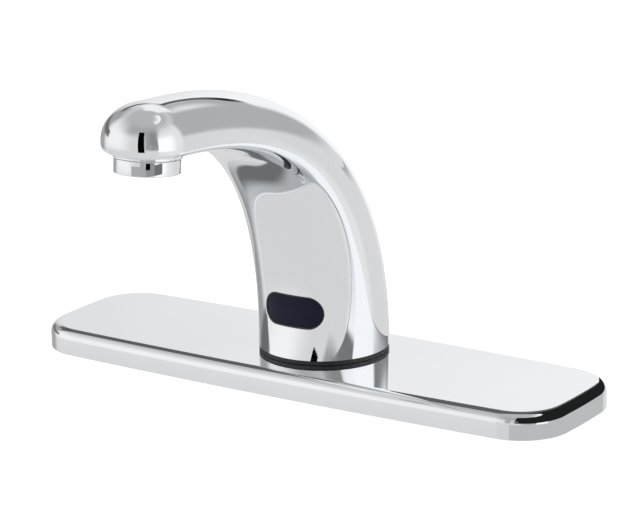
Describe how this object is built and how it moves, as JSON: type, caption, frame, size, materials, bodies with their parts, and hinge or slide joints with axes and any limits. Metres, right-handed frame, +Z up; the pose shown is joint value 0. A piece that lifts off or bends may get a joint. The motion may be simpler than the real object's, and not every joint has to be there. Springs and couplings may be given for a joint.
{
  "type": "sensor tap",
  "caption": "Chrome sensor tap: a curved cast spout with a dark sensor window and a tilted aerator, standing on a long low deck plate with rounded corners.",
  "frame": {"origin": "on the upright axis of the inlet at deck level, where the inlet thread opens downwards", "axes": "+X along the plate, -Y forwards in the direction of the spout, +Z up"},
  "size_m": [0.26, 0.1731, 0.1435],
  "materials": {
    "chrome_cast": "polished chrome plating on cast brass",
    "chrome_plate": "polished chrome plating",
    "chrome_turned": "polished chrome plating on turned brass",
    "black_rubber": "smooth moulded rubber",
    "seal_foam": "soft cellular rubber",
    "fibre_washer": "pressed fibre",
    "grey_moulding": "moulded plastic",
    "dark_window": "polished infrared-clear dark plastic",
    "black_plastic": "fine-textured moulding",
    "circuit_board": "lacquered board",
    "eye_epoxy": "clear tinted epoxy",
    "sheet_steel": "bright stainless steel",
    "lead_sheath": "smooth sheath",
    "brass": "machined brass",
    "copper": "drawn copper tube",
    "white_plastic": "moulded acetal",
    "screen_plastic": "moulded acetal"
  },
  "bodies": {
    "tap": {"spout_body": "chrome_cast", "deck_plate": "chrome_plate", "base_gasket": "black_rubber", "base_oring": "black_rubber", "tube_oring": "black_rubber", "plate_seal": "seal_foam", "lead_grommet": "black_rubber", "lens_seal": "black_rubber", "inlet_seal": "fibre_washer", "plate_liner": "grey_moulding", "sensor_lens": "dark_window", "sensor_housing": "black_plastic", "sensor_board": "circuit_board", "board_chip": "black_plastic", "ir_emitter": "eye_epoxy", "ir_receiver": "eye_epoxy", "sensor_bracket": "sheet_steel", "sensor_screws": "sheet_steel", "base_screws": "sheet_steel", "sensor_lead": "lead_sheath", "mounting_base": "brass", "inlet_nipple": "brass", "tube_nut": "brass", "water_tube": "copper"},
    "cartridge": {"aerator_washer": "black_rubber", "dome_screen": "sheet_steel", "flow_regulator": "white_plastic", "aerator_insert": "white_plastic", "outlet_screen": "screen_plastic"},
    "aerator_shell_body": {"aerator_shell": "chrome_turned"}
  },
  "joints": [
    {"name": "aerator_drop", "type": "slide", "parent": "tap", "child": "cartridge", "axis": [0, -0.0958, -0.9954], "range_m": [0, 0.005]},
    {"name": "aerator_unscrew", "type": "hinge", "parent": "cartridge", "child": "aerator_shell_body", "pos_m": [0, -0.1214, 0.128], "axis": [0, -0.0958, -0.9954], "range_deg": [0, 1800]}
  ],
  "couplings": [
    {"joint": "aerator_drop", "follows": "aerator_unscrew", "m_per_rad": 0.000159}
  ]
}
